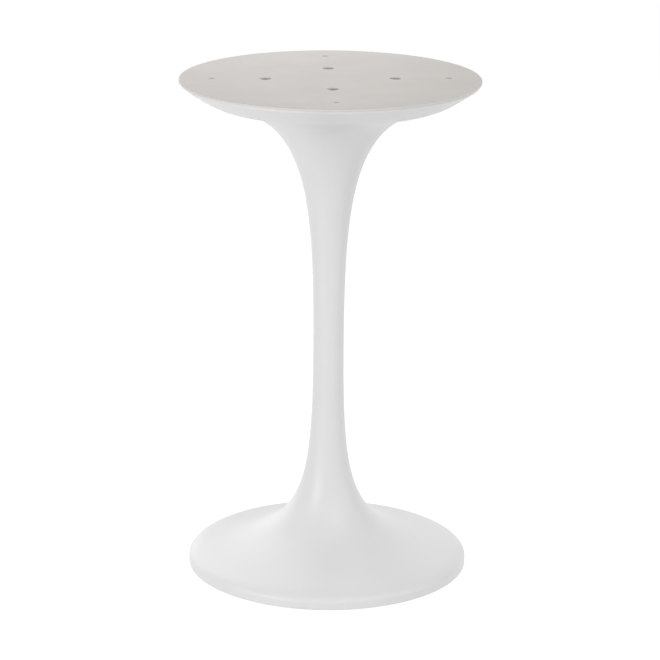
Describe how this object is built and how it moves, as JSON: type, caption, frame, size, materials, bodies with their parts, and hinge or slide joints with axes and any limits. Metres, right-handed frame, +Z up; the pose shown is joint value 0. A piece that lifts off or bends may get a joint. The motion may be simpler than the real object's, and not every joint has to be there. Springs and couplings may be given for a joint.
{
  "type": "tulip table base",
  "caption": "Free-standing pedestal table base with a round flared foot, a slim waisted stem and a trumpet-shaped bell under a flat round mounting plate.",
  "frame": {"origin": "on the floor, on the axis of the stem", "axes": "+Z up along the stem; +X along the wider pair of table holes, +Y along the narrower pair"},
  "size_m": [0.4199, 0.42, 0.71],
  "materials": {
    "white_coat": "satin",
    "grey_coat": "matte",
    "screw_steel": "satin",
    "black_rubber": "matte"
  },
  "bodies": {
    "root": {"pedestal": "white_coat", "top_plate": "grey_coat", "plate_screws": "screw_steel", "floor_ring": "black_rubber"}
  },
  "joints": []
}
